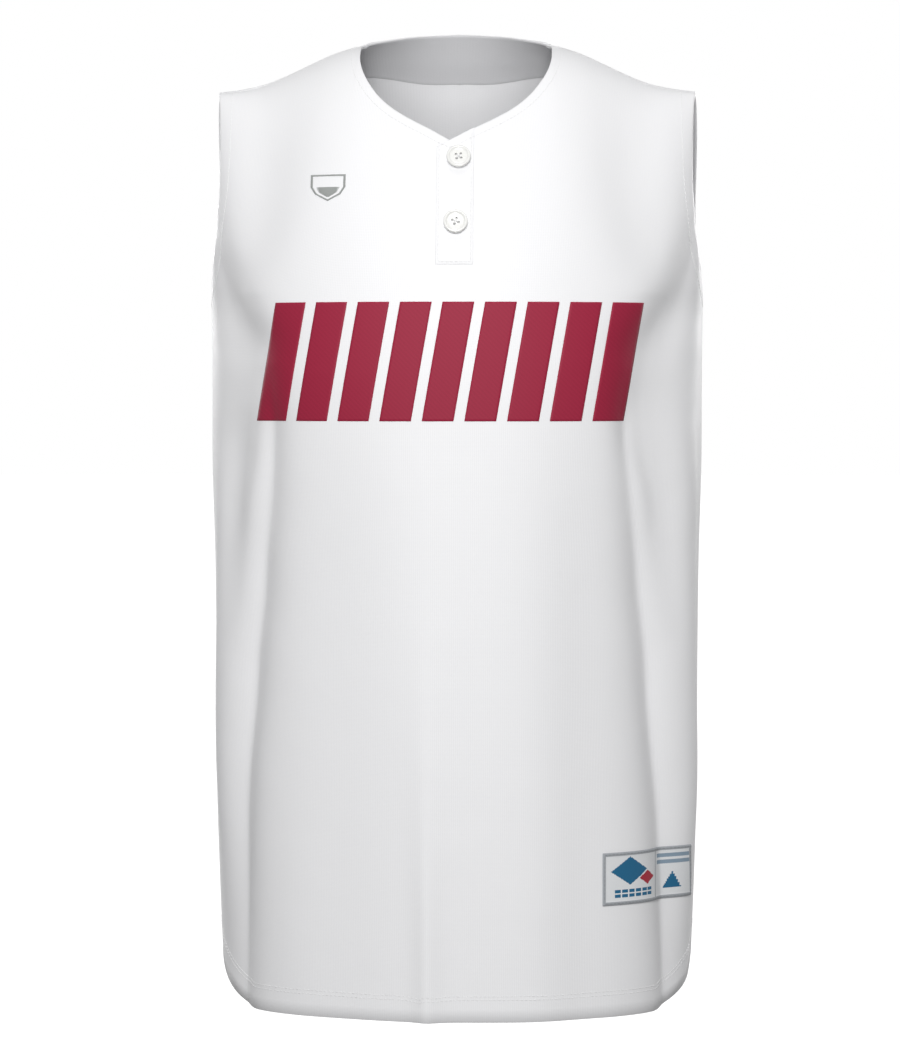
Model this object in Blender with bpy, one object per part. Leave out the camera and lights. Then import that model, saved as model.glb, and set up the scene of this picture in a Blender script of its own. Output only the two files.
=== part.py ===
import math
from collections import namedtuple

import bmesh
import bpy
import numpy as np
from mathutils import Matrix, Vector

# Sleeveless two-button jersey, filled out as it is worn, with nobody in it.
# Metres, +Z up, the front towards -Y, +X to the right of someone who faces the front.
# The origin is midway between the two neck points of the shoulders, where a wearer carries it.
#
# A place on the cloth is given by a share and a climb. The share runs round the half girth, from 0 at the
# middle of a panel to 1 at the side seam, and is negative at -X. The climb runs from 0 at the hem
# through 1 at the chest line to 2 on the crest of the shoulders, and past 2 it goes down the other side.

# Cloth
WALL = 0.0016
TRIM_WALL = 0.0011
SEAM_GAP = 0.0003
PATCH_GAP = 0.0005  # its rows cross those of the front, so it stands a little further off

# Cut, measured on the worn form
NECK_HALF = 0.0775
SHOULDER_HALF = 0.194
V_SHIFT = -0.0028
CHEST_Z = -0.300
ARMPIT_Z = -0.205
SIDE_HEM_Z = -0.725
FRONT_HEM_Z = -0.779
BACK_HEM_Z = -0.781
HEM_CURVE_START = 0.60
HEM_CURVE_END = 1.10

# Crest of the shoulders
NECK_SHARE = 0.31
TIP_SHARE = 0.775
SIDE_REACH = 0.203
SEAM_CLIMB = 1.935
CREST_ROUND = 1.9
LEAN = 1.5
NECK_RISE = 0.0957
NECK_RISE_SHARE = 0.320
NECK_RISE_ROUND = 1.01
NECK_RISE_POWER = {"front": 7.0, "back": 2.5}

# Openings
ARMHOLE_CORNER_CLIMB = 1.52
ARMHOLE_SCOOP_FRONT = 0.020
ARMHOLE_SCOOP_BACK = -0.032
BACK_NECK_CLIMB = 1.645
BACK_NECK_ROUND = 1.557

# Placket, buttons, facing and hem patch
PLACKET_LEFT, PLACKET_RIGHT = -0.0130, 0.0160
PLACKET_END_Z = -0.184
BUTTON_RADIUS = 0.0096
BUTTON_HEIGHT = 0.0030
BUTTON_HOLE_RADIUS = 0.0011
BUTTON_HOLE_PITCH = 0.0034
BUTTONS = {"button_top": (0.0043, -0.0998), "button_bottom": (0.0024, -0.1512)}
BUTTON_STEPS = 28
HOLE_SIDES = 10
HOLE_MARGIN = 0.001
FACING_MIDDLE_CLIMB = 1.556
FACING_NECK_CLIMB = 1.776
FACING_TIP_CLIMB = 1.900
FACING_LINE_POWER = 1.7
FACING_COLUMNS = 13
PATCH_LEFT, PATCH_RIGHT = 0.118, 0.1845
PATCH_TOP_Z, PATCH_LOW_Z = -0.6485, -0.690
PATCH_COLUMN = 30  # a column of the front that runs under the patch
PATCH_ROWS = 4

# Grids
COLUMNS = 20
NECK_COLUMNS = 10
BODY_ROWS = 16
BODY_ROW_EASE = 1.5
ARM_ROWS = 14
ARM_ROW_EASE = 1.6
FACING_ROWS = 4
SHARE_STEP = 0.002  # how far apart the points are that give a slope
HALVINGS = 40
CLOTH_EDGE_ANGLE = 40
BUTTON_EDGE_ANGLE = 50
MERGE_DISTANCE = 0.00001

# Rings round the body, from the hem to just over the chest line.
Ring = namedtuple("Ring", "height half_width front_depth back_depth squareness")
RINGS = (
    Ring(-0.800, 0.1900, 0.1375, 0.1270, 2.60),
    Ring(-0.750, 0.1912, 0.1385, 0.1265, 2.58),
    Ring(-0.688, 0.1935, 0.1400, 0.1255, 2.48),
    Ring(-0.606, 0.1958, 0.1420, 0.1230, 2.34),
    Ring(-0.500, 0.1962, 0.1440, 0.1195, 2.22),
    Ring(-0.420, 0.1970, 0.1452, 0.1190, 2.18),
    Ring(-0.340, 0.1990, 0.1460, 0.1215, 2.24),
    Ring(-0.260, 0.1990, 0.1460, 0.1215, 2.34),
)

# The shoulder line from the middle outwards, as it drops from the neck points.
Shoulder = namedtuple("Shoulder", "across drop")
SHOULDERS = (
    Shoulder(0.000, 0.0018),
    Shoulder(0.050, 0.0022),
    Shoulder(0.0775, 0.0028),
    Shoulder(0.099, 0.0087),
    Shoulder(0.118, 0.0171),
    Shoulder(0.135, 0.0252),
    Shoulder(0.156, 0.0336),
    Shoulder(0.172, 0.0373),
    Shoulder(0.194, 0.0402),
    Shoulder(0.205, 0.0412),
)

# The front neckline as seen from the front, from the neck point down to the point of the V.
Neckline = namedtuple("Neckline", "across drop")
NECKLINE = (
    Neckline(0.0775, 0.0024),
    Neckline(0.0770, 0.0170),
    Neckline(0.0735, 0.0280),
    Neckline(0.0675, 0.0385),
    Neckline(0.0600, 0.0482),
    Neckline(0.0475, 0.0590),
    Neckline(0.0340, 0.0670),
    Neckline(0.0165, 0.0752),
    Neckline(0.0000, 0.0830),
)

# Folds, each a soft trough or ridge that runs down the cloth through three places.
Fold = namedtuple(
    "Fold", "panel top_z top_share mid_z mid_share low_z low_share half_share top_rise low_rise"
)
FOLDS = (
    # the troughs from under the arms
    Fold("front", -0.130, -0.880, -0.235, -0.665, -0.500, -0.720, 0.150, -0.0110, -0.0030),
    Fold("front", -0.130, 0.860, -0.235, 0.640, -0.500, 0.690, 0.150, -0.0110, -0.0030),
    # the long troughs beside the front, down to the hem
    Fold("front", -0.270, -0.495, -0.500, -0.618, -0.840, -0.675, 0.130, -0.0070, -0.0085),
    Fold("front", -0.275, 0.465, -0.500, 0.588, -0.840, 0.677, 0.125, -0.0070, -0.0085),
    # the ridge down the middle of the skirt, and the wide flat hollow on each side of it
    Fold("front", -0.360, -0.080, -0.600, -0.072, -0.840, -0.068, 0.100, 0.0010, 0.0050),
    Fold("front", -0.260, -0.420, -0.550, -0.420, -0.840, -0.420, 0.280, -0.0030, -0.0085),
    Fold("front", -0.260, 0.420, -0.550, 0.420, -0.840, 0.420, 0.240, -0.0028, -0.0068),
    # the back, hidden in the view from the front
    Fold("back", -0.140, -0.780, -0.290, -0.560, -0.520, -0.480, 0.120, -0.0045, -0.0050),
    Fold("back", -0.140, 0.760, -0.310, 0.540, -0.560, 0.450, 0.120, -0.0045, -0.0045),
    Fold("back", -0.400, -0.560, -0.600, -0.640, -0.840, -0.660, 0.090, -0.0040, -0.0070),
    Fold("back", -0.430, 0.600, -0.620, 0.660, -0.840, 0.700, 0.090, -0.0040, -0.0065),
    Fold("back", -0.360, 0.020, -0.580, -0.020, -0.840, -0.040, 0.120, -0.0020, -0.0045),
    Fold("back", -0.460, 0.280, -0.660, 0.290, -0.840, 0.300, 0.110, 0.0015, 0.0035),
)
FOLD_FADE = 0.070
FOLD_BELL = 2.2  # how fast a fold falls off across its half share
SIDE_CALM = 0.070

# A button's section, as shares of its radius and its height: flat back, round edge, raised rim and
# dished middle.
Section = namedtuple("Section", "radius_share height_share")
BUTTON_SECTION = (
    Section(0.00, 0.00),
    Section(0.86, 0.00),
    Section(0.97, 0.22),
    Section(1.00, 0.50),
    Section(0.96, 0.82),
    Section(0.86, 1.00),
    Section(0.76, 0.93),
    Section(0.66, 0.72),
    Section(0.00, 0.68),
)

# Colours, linear
Finish = namedtuple("Finish", "colour roughness")
WHITE_CLOTH = Finish((0.88, 0.88, 0.88), 0.82)
FACING_CLOTH = Finish((0.80, 0.80, 0.81), 0.85)
WHITE_BUTTON = Finish((0.86, 0.86, 0.85), 0.30)
PATCH_WEAVE = Finish((0.56, 0.58, 0.60), 0.78)


def smooth_read(knots, values, at):
    """Reads a curve through the rows of a table, with each row's slope taken from its neighbours."""
    knots = np.asarray(knots, float)
    values = np.asarray(values, float)
    slopes = np.gradient(values, knots)
    at = np.clip(at, knots[0], knots[-1])
    row = np.clip(np.searchsorted(knots, at, side="right") - 1, 0, len(knots) - 2)
    width = knots[row + 1] - knots[row]
    part = (at - knots[row]) / width
    rise = values[row + 1] - values[row]
    bend = (1 - part) * (width * slopes[row] - rise) + part * (rise - width * slopes[row + 1])
    return values[row] + part * rise + part * (1 - part) * bend


def read_column(table, key, column, at):
    return smooth_read([getattr(row, key) for row in table], [getattr(row, column) for row in table], at)


def ease(value):
    value = np.clip(value, 0.0, 1.0)
    return value * value * (3 - 2 * value)


def ring_point(panel, share, height):
    """The place on the ring at this height, as (x, y). A ring is a superellipse, deeper in front."""
    angle = np.clip(np.abs(share), 0.0, 1.0) * math.pi / 2
    power = read_column(RINGS, "height", "squareness", height)
    sine, cosine = np.sin(angle), np.maximum(np.cos(angle), 0.0)
    radius = (sine**power + cosine**power) ** (-1 / power)
    depth = read_column(RINGS, "height", panel + "_depth", height)
    across = read_column(RINGS, "height", "half_width", height) * radius * sine * np.sign(share)
    return across, depth * radius * cosine * (-1 if panel == "front" else 1)


def crest_point(share):
    """The crest of the shoulder over this share, as (x, z), before the rise to the neck."""
    reach = smooth_read(
        [0, NECK_SHARE, TIP_SHARE, 1], [0, NECK_HALF, SHOULDER_HALF, SIDE_REACH], np.abs(share)
    )
    return reach * np.sign(share), -read_column(SHOULDERS, "across", "drop", reach)


def neck_rise(panel, share):
    """How much further the crest rises near the neck. The front has no more of it than at the neck points."""
    size = np.abs(share)
    if panel == "front":
        size = np.maximum(size, NECK_SHARE)
    return NECK_RISE * (1 - ease(size / NECK_RISE_SHARE) ** NECK_RISE_ROUND)


def hem_height(panel, share):
    middle = FRONT_HEM_Z if panel == "front" else BACK_HEM_Z
    lift = ease((np.abs(share) - HEM_CURVE_START) / (HEM_CURVE_END - HEM_CURVE_START))
    return middle + (SIDE_HEM_Z - middle) * lift


def form_point(panel, share, climb):
    """The undraped form of a panel, as an array of points. Past the crest it is the other panel's form."""
    share, climb = np.broadcast_arrays(np.asarray(share, float), np.asarray(climb, float))
    below = np.minimum(climb, 1.0)
    hem = hem_height(panel, share)
    height = hem + (CHEST_Z - hem) * below
    across, forward = ring_point(panel, share, height)
    turn = np.clip(climb - 1, 0.0, 1.0) * math.pi / 2
    up = np.sin(turn) ** (2 / CREST_ROUND)
    crest_across, crest_height = crest_point(share)
    across = across + (crest_across - across) * up**LEAN
    forward = forward * np.maximum(np.cos(turn), 0.0) ** (2 / CREST_ROUND)
    height = height + (crest_height - CHEST_Z) * up
    height = height + neck_rise(panel, share) * up ** NECK_RISE_POWER[panel]
    points = np.stack([across, forward, height], axis=-1)
    over = climb > 2
    if over.any():
        other = "front" if panel == "back" else "back"
        beyond = form_point(other, share, np.minimum(4 - climb, 2.0))
        points = np.where(over[..., None], beyond, points)
    return points


def fold_rise(panel, share, height):
    """How far the folds lift the cloth off the form here, below zero in a trough."""
    total = np.zeros(np.shape(share))
    for fold in FOLDS:
        if fold.panel != panel:
            continue
        path_z = (fold.low_z, fold.mid_z, fold.top_z)
        path = smooth_read(path_z, (fold.low_share, fold.mid_share, fold.top_share), height)
        along = np.clip((height - fold.low_z) / (fold.top_z - fold.low_z), 0.0, 1.0)
        size = fold.low_rise + (fold.top_rise - fold.low_rise) * along
        fade = ease((fold.top_z - height) / FOLD_FADE) * ease((height - fold.low_z) / FOLD_FADE)
        off = (share - path) / fold.half_share
        total = total + size * fade * np.exp(-FOLD_BELL * off * off)
    return total * ease((1 - np.abs(share)) / SIDE_CALM)


def cloth_points(panel, share, climb, lift):
    """Points of the draped cloth, moved out along its normal by lift."""
    share, climb = np.broadcast_arrays(np.asarray(share, float), np.asarray(climb, float))
    step = SHARE_STEP
    points = form_point(panel, share, climb)
    lower, upper = np.maximum(share - step, -1.0), np.minimum(share + step, 1.0)
    along = form_point(panel, upper, climb) - form_point(panel, lower, climb)
    up = form_point(panel, share, climb + step) - form_point(panel, share, climb - step)
    normal = np.cross(along, up)
    normal /= np.linalg.norm(normal, axis=-1, keepdims=True)
    if panel == "back":
        normal = -normal
    rise = np.where(climb < 2, fold_rise(panel, share, points[..., 2]), 0.0)
    return points + normal * (rise + lift)[..., None]


def halved(low, high, is_low):
    """The place between low and high where is_low turns false."""
    for _ in range(HALVINGS):
        middle = (low + high) / 2
        if is_low(middle):
            low = middle
        else:
            high = middle
    return middle


def spot_at(across, height):
    """Share and climb of the place on the front's form with this x and z."""

    def climb_at(share):
        return halved(0.0, 2.0, lambda climb: form_point("front", share, climb)[2] < height)

    share = halved(-1.0, 1.0, lambda share: form_point("front", share, climb_at(share))[0] < across)
    return share, climb_at(share)


def neckline_side(sign, count):
    """Spots along one side of the front neckline, evenly spaced from the point of the V to the neck point."""
    across = np.array([row.across for row in NECKLINE])[::-1]
    drop = np.array([row.drop for row in NECKLINE])[::-1]
    run = np.concatenate([[0.0], np.cumsum(np.hypot(np.diff(across), np.diff(drop)))])
    spots = []
    for at in np.linspace(0.0, run[-1], count + 1)[:-1]:
        x = float(smooth_read(run, across, at))
        z = -float(smooth_read(run, drop, at))
        spots.append(spot_at(sign * x + V_SHIFT * (1 - x / NECK_HALF), z))
    spots.append((sign * NECK_SHARE, SEAM_CLIMB))
    return spots


def back_neck_spot(part):
    """A spot on the back neckline, from the middle at 0 to a neck point at 1 or -1."""
    turn = abs(part) * math.pi / 2
    rise = 1 - math.cos(turn) ** BACK_NECK_ROUND if abs(part) < 1 else 1.0
    climb = BACK_NECK_CLIMB + (4 - SEAM_CLIMB - BACK_NECK_CLIMB) * rise
    return math.copysign(NECK_SHARE * math.sin(turn), part), climb


def top_spots(panel):
    """Spots along a panel's top edge: a shoulder seam, the neckline and the other shoulder seam."""
    seam = SEAM_CLIMB if panel == "front" else 4 - SEAM_CLIMB
    seam_shares = np.linspace(NECK_SHARE, TIP_SHARE, COLUMNS - NECK_COLUMNS + 1)[1:]
    if panel == "front":
        left = neckline_side(-1, NECK_COLUMNS)
        right = neckline_side(1, NECK_COLUMNS)
        neck = left[::-1] + right[1:]
    else:
        neck = [back_neck_spot(part) for part in np.linspace(-1, 1, 2 * NECK_COLUMNS + 1)]
    return [(-s, seam) for s in seam_shares[::-1]] + neck + [(s, seam) for s in seam_shares]


def armpit_climb():
    return halved(1.0, 2.0, lambda climb: form_point("front", 1.0, climb)[2] < ARMPIT_Z)


def armhole_share(panel, climb):
    """Share of the armhole's edge at this climb: level at the armpit, round a corner, up to the tip."""
    start = armpit_climb()
    down = np.clip((ARMHOLE_CORNER_CLIMB - climb) / (ARMHOLE_CORNER_CLIMB - start), 0.0, 1.0)
    corner = 1 - np.sqrt(np.maximum(1 - down * down, 0.0))
    scoop = ARMHOLE_SCOOP_FRONT if panel == "front" else ARMHOLE_SCOOP_BACK
    scoop = scoop * np.sin(np.clip((climb - start) / (SEAM_CLIMB - start), 0.0, 1.0) * math.pi)
    return TIP_SHARE + (1 - TIP_SHARE) * corner - scoop * (1 - corner)


def facing_line(share):
    """Climb of the back's row along the facing's lower edge, carried on to the armholes."""
    size = np.abs(share)
    neck = FACING_MIDDLE_CLIMB + (FACING_NECK_CLIMB - FACING_MIDDLE_CLIMB) * (
        np.minimum(size / NECK_SHARE, 1.0) ** FACING_LINE_POWER
    )
    outwards = ease((size - NECK_SHARE) / (TIP_SHARE - NECK_SHARE))
    return neck + (FACING_TIP_CLIMB - FACING_NECK_CLIMB) * outwards


def panel_grid(panel):
    """Shares and climbs of a panel's points: rows from the hem up, columns from -X to +X."""
    top = top_spots(panel)
    start = armpit_climb()
    even = np.linspace(-1, 1, 2 * COLUMNS + 1)
    top_share = np.array([spot[0] for spot in top]) / TIP_SHARE
    top_climb = np.array([spot[1] for spot in top])
    shares = [even for row in range(BODY_ROWS + 1)]
    parts = 1 - (1 - np.linspace(0, 1, BODY_ROWS + 1)) ** BODY_ROW_EASE
    climbs = [np.full(len(even), start * part) for part in parts]
    stops = [(top_climb, ARM_ROWS)]
    if panel == "back":
        stops = [(facing_line(top_share * TIP_SHARE), ARM_ROWS - FACING_ROWS), (top_climb, FACING_ROWS)]
    base = climbs[-1]
    for stop, count in stops:
        for row in range(1, count + 1):
            part = row / count
            climb = base + (stop - base) * (part**ARM_ROW_EASE if base is climbs[BODY_ROWS] else part)
            edge = armhole_share(panel, climb[0])
            mixed = (climb - start) / (top_climb - start)
            shares.append(edge * (even + (top_share - even) * mixed))
            climbs.append(climb)
        base = stop
    shares[-1] = top_share * TIP_SHARE
    return np.array(shares), np.array(climbs)


def draw_back(points, gap):
    """Moves the side edges and the top edge of a grid of points back from the seams they meet."""
    sides = ((points[:, 0], points[:, 1]), (points[:, -1], points[:, -2]))
    top = (points[-1], points[-2])
    for edge, inner in (*sides, top):
        away = inner - edge
        edge += away / np.linalg.norm(away, axis=-1, keepdims=True) * gap


def material(name, finish):
    made = bpy.data.materials.new(name)
    made.use_nodes = True
    shader = made.node_tree.nodes["Principled BSDF"]
    shader.inputs["Base Color"].default_value = (*finish.colour, 1.0)
    shader.inputs["Roughness"].default_value = finish.roughness
    shader.inputs["Metallic"].default_value = 0.0
    return made


def add_wall(name, outer, inner, finish):
    """One closed piece of cloth between two grids of points that match."""
    mesh = bmesh.new()
    sheets = []
    for grid in (outer, inner):
        sheets.append([[mesh.verts.new(Vector(point)) for point in row] for row in grid])
    rows, columns = outer.shape[:2]
    for sheet in sheets:
        for row in range(rows - 1):
            for column in range(columns - 1):
                low, high = sheet[row], sheet[row + 1]
                mesh.faces.new((low[column], low[column + 1], high[column + 1], high[column]))
    rim = [(0, column) for column in range(columns - 1)]
    rim += [(row, columns - 1) for row in range(rows - 1)]
    rim += [(rows - 1, column) for column in range(columns - 1, 0, -1)]
    rim += [(row, 0) for row in range(rows - 1, 0, -1)]
    for here, there in zip(rim, rim[1:] + rim[:1]):
        corners = ((0, here), (0, there), (1, there), (1, here))
        mesh.faces.new([sheets[side][row][column] for side, (row, column) in corners])
    bmesh.ops.recalc_face_normals(mesh, faces=mesh.faces)
    data = bpy.data.meshes.new(name)
    mesh.to_mesh(data)
    mesh.free()
    data.shade_smooth()
    data.set_sharp_from_angle(angle=math.radians(CLOTH_EDGE_ANGLE))
    data.materials.append(material(name, finish))
    piece = bpy.data.objects.new(name, data)
    bpy.context.scene.collection.objects.link(piece)
    return piece


def add_panel(panel):
    """Builds a panel and returns the grids of its outer and inner points."""
    shares, climbs = panel_grid(panel)
    faces = [cloth_points(panel, shares, climbs, lift) for lift in (WALL / 2, -WALL / 2)]
    for points in faces:
        draw_back(points, SEAM_GAP / 2)
    add_wall(panel, *faces, WHITE_CLOTH)
    return faces


def on_grid(points, rows, columns):
    """Points of a grid read at fractions of its rows and columns."""
    row = np.clip(np.floor(rows).astype(int), 0, points.shape[0] - 2)
    column = np.clip(np.floor(columns).astype(int), 0, points.shape[1] - 2)
    up, along = (rows - row)[..., None], (columns - column)[..., None]
    low = points[row, column] * (1 - along) + points[row, column + 1] * along
    high = points[row + 1, column] * (1 - along) + points[row + 1, column + 1] * along
    return low * (1 - up) + high * up


def add_layer(name, faces, rows, columns, outside, finish, gap=SEAM_GAP):
    """A thin piece on a panel, made from the panel's points and moved out, or in when it lines the inside."""
    rows, columns = np.broadcast_arrays(np.asarray(rows, float), np.asarray(columns, float))
    outer, inner = (on_grid(points, rows, columns) for points in faces)
    normal = (outer - inner) / np.linalg.norm(outer - inner, axis=-1, keepdims=True)
    base, away = (outer, normal) if outside else (inner, -normal)
    add_wall(name, base + away * (gap + TRIM_WALL), base + away * gap, finish)


def column_at(points, row, across):
    """The fraction of a column where this row passes x = across."""
    line = on_grid(points, np.full(points.shape[1], row), np.arange(points.shape[1], dtype=float))
    return float(np.interp(across, line[:, 0], np.arange(points.shape[1])))


def row_at(points, column, height):
    """The fraction of a row where this column passes z = height."""
    line = on_grid(points, np.arange(points.shape[0], dtype=float), np.full(points.shape[0], column))
    return float(np.interp(height, line[:, 2], np.arange(points.shape[0])))


def add_placket(front):
    """The upper lap of the placket. Its head carries the right neckline on over the left front."""
    outer = front[0]
    last = outer.shape[0] - 1
    foot = row_at(outer, COLUMNS, PLACKET_END_Z)
    lines = [foot] + list(range(math.ceil(foot), last + 1))
    rows = np.array([[row] * 3 for row in lines], float)
    across = (PLACKET_LEFT, 0.0, PLACKET_RIGHT)
    columns = np.array([[column_at(outer, row, x) for x in across] for row in lines])
    columns[:, 1] = COLUMNS
    tip, right = on_grid(outer, rows[-1, 1:], columns[-1, 1:])
    slope = (right[2] - tip[2]) / (right[0] - tip[0])
    rows[-1, 0] = row_at(outer, columns[-1, 0], tip[2] - slope * (tip[0] - PLACKET_LEFT))
    add_layer("placket", front, rows, columns, True, WHITE_CLOTH)


def add_patch(front):
    """The sewn patch above the hem. It has a line of points on each of the panel's columns under it."""
    outer = front[0]
    middle = row_at(outer, PATCH_COLUMN, (PATCH_TOP_Z + PATCH_LOW_Z) / 2)
    left, right = (column_at(outer, middle, x) for x in (PATCH_LEFT, PATCH_RIGHT))
    columns = np.array([left] + list(range(math.ceil(left), math.floor(right) + 1)) + [right])
    heights = np.linspace(PATCH_LOW_Z, PATCH_TOP_Z, PATCH_ROWS)
    rows = [[row_at(outer, column, height) for column in columns] for height in heights]
    add_layer("hem_patch", front, rows, columns, True, PATCH_WEAVE, PATCH_GAP)


def add_facing(back):
    """The band inside the back of the neck, with its ends at the shoulder seams."""
    last = back[0].shape[0] - 1
    rows = np.arange(last - FACING_ROWS, last + 1, dtype=float)[:, None]
    columns = np.arange(COLUMNS - FACING_COLUMNS, COLUMNS + FACING_COLUMNS + 1, dtype=float)[None, :]
    add_layer("neck_facing", back, rows, columns, False, FACING_CLOTH)


def cylinder(name, radius, low, high, place):
    data = bpy.data.meshes.new(name)
    mesh = bmesh.new()
    bmesh.ops.create_cone(
        mesh, cap_ends=True, segments=HOLE_SIDES, radius1=radius, radius2=radius, depth=high - low,
        matrix=Matrix.Translation((place[0], place[1], (low + high) / 2)),
    )
    mesh.to_mesh(data)
    mesh.free()
    made = bpy.data.objects.new(name, data)
    bpy.context.scene.collection.objects.link(made)
    made.hide_render = True
    made.display_type = "WIRE"
    return made


def add_button(name, across, height):
    """A four-hole button on the placket, its back just clear of the cloth and its face along the normal."""
    share, climb = spot_at(across, height)
    base = WALL / 2 + SEAM_GAP + TRIM_WALL + SEAM_GAP
    centre = Vector(cloth_points("front", share, climb, base))
    normal = (Vector(cloth_points("front", share, climb, base + BUTTON_HEIGHT)) - centre).normalized()
    mesh = bmesh.new()
    profile = [
        mesh.verts.new((row.radius_share * BUTTON_RADIUS, 0.0, row.height_share * BUTTON_HEIGHT))
        for row in BUTTON_SECTION
    ]
    edges = [mesh.edges.new(pair) for pair in zip(profile, profile[1:])]
    bmesh.ops.spin(
        mesh, geom=profile + edges, cent=(0, 0, 0), axis=(0, 0, 1), angle=2 * math.pi, steps=BUTTON_STEPS,
        use_merge=True,
    )
    bmesh.ops.remove_doubles(mesh, verts=mesh.verts, dist=MERGE_DISTANCE)
    bmesh.ops.recalc_face_normals(mesh, faces=mesh.faces)
    data = bpy.data.meshes.new(name)
    mesh.to_mesh(data)
    mesh.free()
    data.shade_smooth()
    data.set_sharp_from_angle(angle=math.radians(BUTTON_EDGE_ANGLE))
    data.materials.append(material(name, WHITE_BUTTON))
    button = bpy.data.objects.new(name, data)
    bpy.context.scene.collection.objects.link(button)
    button.location = centre
    button.rotation_euler = Vector((0, 0, 1)).rotation_difference(normal).to_euler()
    for number, (x, y) in enumerate(((-1, -1), (1, -1), (1, 1), (-1, 1))):
        place = (x * BUTTON_HOLE_PITCH / 2, y * BUTTON_HOLE_PITCH / 2)
        ends = (-HOLE_MARGIN, BUTTON_HEIGHT + HOLE_MARGIN)
        cutter = cylinder(f"{name}_hole_{number}", BUTTON_HOLE_RADIUS, *ends, place)
        cutter.parent = button
        cut = button.modifiers.new(f"hole {number}", "BOOLEAN")
        cut.operation = "DIFFERENCE"
        cut.object = cutter
    return button


def build():
    for thing in list(bpy.data.objects):
        bpy.data.objects.remove(thing)
    front = add_panel("front")
    back = add_panel("back")
    add_facing(back)
    add_placket(front)
    add_patch(front)
    for name, place in BUTTONS.items():
        add_button(name, *place)


build()
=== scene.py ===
import math

import bmesh
import bpy
import numpy as np
from mathutils import Matrix, Vector


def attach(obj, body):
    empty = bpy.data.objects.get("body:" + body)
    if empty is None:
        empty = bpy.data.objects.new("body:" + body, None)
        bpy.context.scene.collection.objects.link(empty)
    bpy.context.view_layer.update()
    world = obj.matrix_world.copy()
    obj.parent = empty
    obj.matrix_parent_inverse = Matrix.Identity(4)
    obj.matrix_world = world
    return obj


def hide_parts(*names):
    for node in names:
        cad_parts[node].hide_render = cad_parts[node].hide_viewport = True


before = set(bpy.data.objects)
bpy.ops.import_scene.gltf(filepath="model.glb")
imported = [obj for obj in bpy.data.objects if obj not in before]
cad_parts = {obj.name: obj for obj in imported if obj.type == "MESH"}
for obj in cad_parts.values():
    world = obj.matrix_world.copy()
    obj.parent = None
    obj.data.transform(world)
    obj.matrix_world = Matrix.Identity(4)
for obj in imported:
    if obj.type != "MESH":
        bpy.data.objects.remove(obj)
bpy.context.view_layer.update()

# Sleeveless two-button jersey in white polyester knit, filled out as it is worn.
# Metres, +Z up, front towards -Y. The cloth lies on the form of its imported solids.
# A place on the cloth is a share and a climb. The share runs round half the girth, 0 at the middle of a panel
# and 1 at the side seam, below zero at -X. The climb is 0 at the hem, 1 at the chest line, 2 on the crest
# of the shoulders, and past 2 it goes down the other side.

print("jersey: frame loaded")

millimetre = 0.001
white = (1.0, 1.0, 1.0, 1.0)

cloth = {
    "wall": 0.0016, "seamGap": 0.0003,
    "foldEdge": 0.0004,  # how far the folded edges round outwards
    "columns": 84, "neckColumns": 42,  # cells from the middle to a side seam, and to a neck point
    "bodyRows": 88, "armRows": 84, "facingRows": 20,
    "halfCut": 0.272, "upperCut": 0.33,  # half the flat cut's width, and its length above the chest line
}

# how slopes on the form are read, and places on it found
search = {
    "step": 0.002, "fineStep": 0.0005, "rounds": 14, "drapedRounds": 4, "longestMove": 0.1,
    "shareLimit": 0.999, "climbLimit": 1.999, "firstShareLimit": 0.95, "firstClimbReach": 0.8,
}

cut = {
    "neckHalf": 0.0775, "shoulderHalf": 0.194, "sideReach": 0.203, "vShift": -0.0028,
    "chestZ": -0.3, "armpitZ": -0.205, "sideHemZ": -0.725, "frontHemZ": -0.779, "backHemZ": -0.781,
    "hemCurveStart": 0.6, "hemCurveEnd": 1.1,
    "neckShare": 0.31, "tipShare": 0.775, "seamClimb": 1.935,
    "crestRound": 1.9, "lean": 1.5,
    "neckRise": 0.0957, "neckRiseShare": 0.32, "neckRiseRound": 1.01,
    "neckRisePower": {"front": 7.0, "back": 2.5},
    "armholeCornerClimb": 1.52, "armholeScoop": {"front": 0.02, "back": -0.032},
    "backNeckClimb": 1.645, "backNeckRound": 1.557, "facingTipClimb": 1.9,
    "bodyRowEase": 1.5, "armRowEase": 1.6,
}

# rings round the body, hem to chest
rings = {
    "height": (-0.8, -0.75, -0.688, -0.606, -0.5, -0.42, -0.34, -0.26),
    "halfWidth": (0.19, 0.1912, 0.1935, 0.1958, 0.1962, 0.197, 0.199, 0.199),
    "front": (0.1375, 0.1385, 0.14, 0.142, 0.144, 0.1452, 0.146, 0.146),
    "back": (0.127, 0.1265, 0.1255, 0.123, 0.1195, 0.119, 0.1215, 0.1215),
    "squareness": (2.6, 2.58, 2.48, 2.34, 2.22, 2.18, 2.24, 2.34),
}

shoulderLine = {
    "across": (0, 0.05, 0.0775, 0.099, 0.118, 0.135, 0.156, 0.172, 0.194, 0.205),
    "drop": (0.0018, 0.0022, 0.0028, 0.0087, 0.0171, 0.0252, 0.0336, 0.0373, 0.0402, 0.0412),
}

# lower edge of the neck band inside the back, from the middle out to a neck point
bandLine = {
    "share": (0, 0.031, 0.062, 0.093, 0.124, 0.155, 0.186, 0.217, 0.248, 0.279, 0.31),
    "climb": (1.556, 1.559, 1.565, 1.576, 1.592, 1.614, 1.641, 1.674, 1.709, 1.745, 1.774),
}

# front neckline seen from the front, from the point of the V up to a neck point
neckline = {
    "across": (0, 0.0165, 0.034, 0.0475, 0.06, 0.0675, 0.0735, 0.077, 0.0775),
    "drop": (0.0853, 0.0762, 0.0672, 0.059, 0.0482, 0.0385, 0.028, 0.017, 0.0024),
}

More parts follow.
